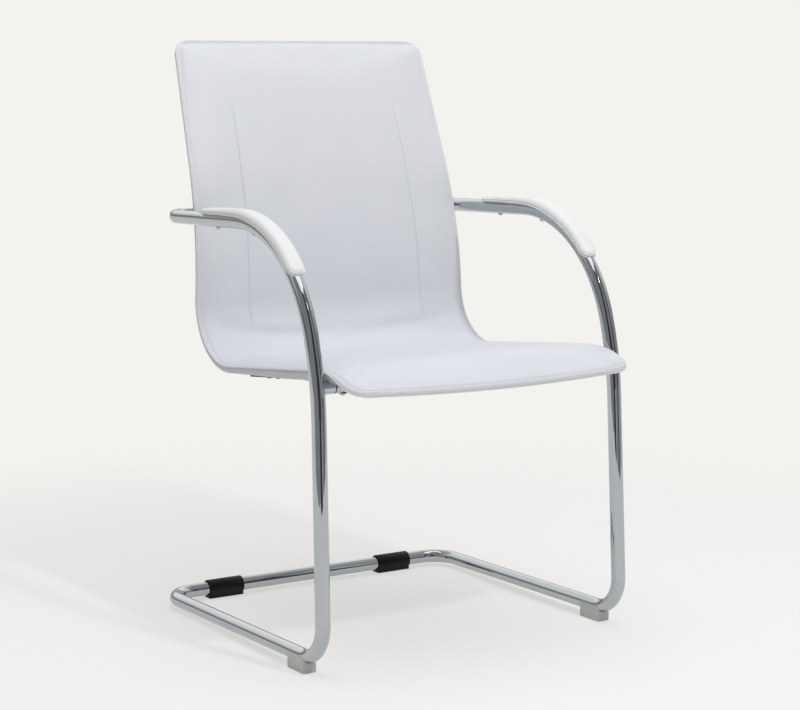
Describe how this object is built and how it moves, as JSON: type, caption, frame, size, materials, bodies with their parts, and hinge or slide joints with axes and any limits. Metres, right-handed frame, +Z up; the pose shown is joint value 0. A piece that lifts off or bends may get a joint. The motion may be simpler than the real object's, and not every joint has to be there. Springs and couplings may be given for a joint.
{
  "type": "cantilever office chair",
  "caption": "Cantilever visitor chair: a bright round-tube frame loops from floor runners to padded arms and springs a padded one-piece seat and back",
  "frame": {"origin": "on the floor, under the middle of the chair's bounding box", "axes": "+Z up; the sitter faces -Y; +X is the sitter's left; the chair is symmetric about X = 0"},
  "size_m": [0.556, 0.5927, 0.9038],
  "materials": {
    "chrome_tube": "bright polished",
    "zinc_fixings": "zinc plated",
    "black_steel": "satin black",
    "black_plastic": "satin",
    "grey_plastic": "matte",
    "plywood": "raw",
    "pad_board": "raw",
    "foam": "raw",
    "white_leatherette": "smooth, faint sheen",
    "back_leatherette": "smooth, faint sheen"
  },
  "bodies": {
    "base": {"left_floor_tube": "chrome_tube", "right_floor_tube": "chrome_tube", "left_front_foot": "grey_plastic", "right_front_foot": "grey_plastic", "left_rear_glide": "black_plastic", "right_rear_glide": "black_plastic"},
    "upper": {"left_arm_tube": "chrome_tube", "right_arm_tube": "chrome_tube", "left_cross_stub": "chrome_tube", "right_cross_stub": "chrome_tube", "stub_rings": "black_plastic", "front_cross_tube": "chrome_tube", "left_seat_bar": "black_steel", "right_seat_bar": "black_steel", "cross_tube_bolts": "zinc_fixings", "cross_tube_nuts": "zinc_fixings", "seat_bar_screws": "black_steel", "back_spacers": "black_plastic", "back_bolts": "zinc_fixings", "back_nuts": "zinc_fixings", "shell_core": "plywood", "shell_foam": "foam", "front_cover": "white_leatherette", "back_cover": "back_leatherette", "left_pad_base": "pad_board", "right_pad_base": "pad_board", "left_pad_foam": "foam", "right_pad_foam": "foam", "left_pad_cover": "white_leatherette", "right_pad_cover": "white_leatherette", "pad_screws": "black_steel"}
  },
  "joints": [
    {"name": "frame_flex", "type": "hinge", "parent": "base", "child": "upper", "pos_m": [0, -0.21893, 0.1295], "axis": [-1, 0, 0], "range_deg": [0, 4], "stiffness_Nm_per_rad": 2800, "springref_deg": -0.46}
  ]
}
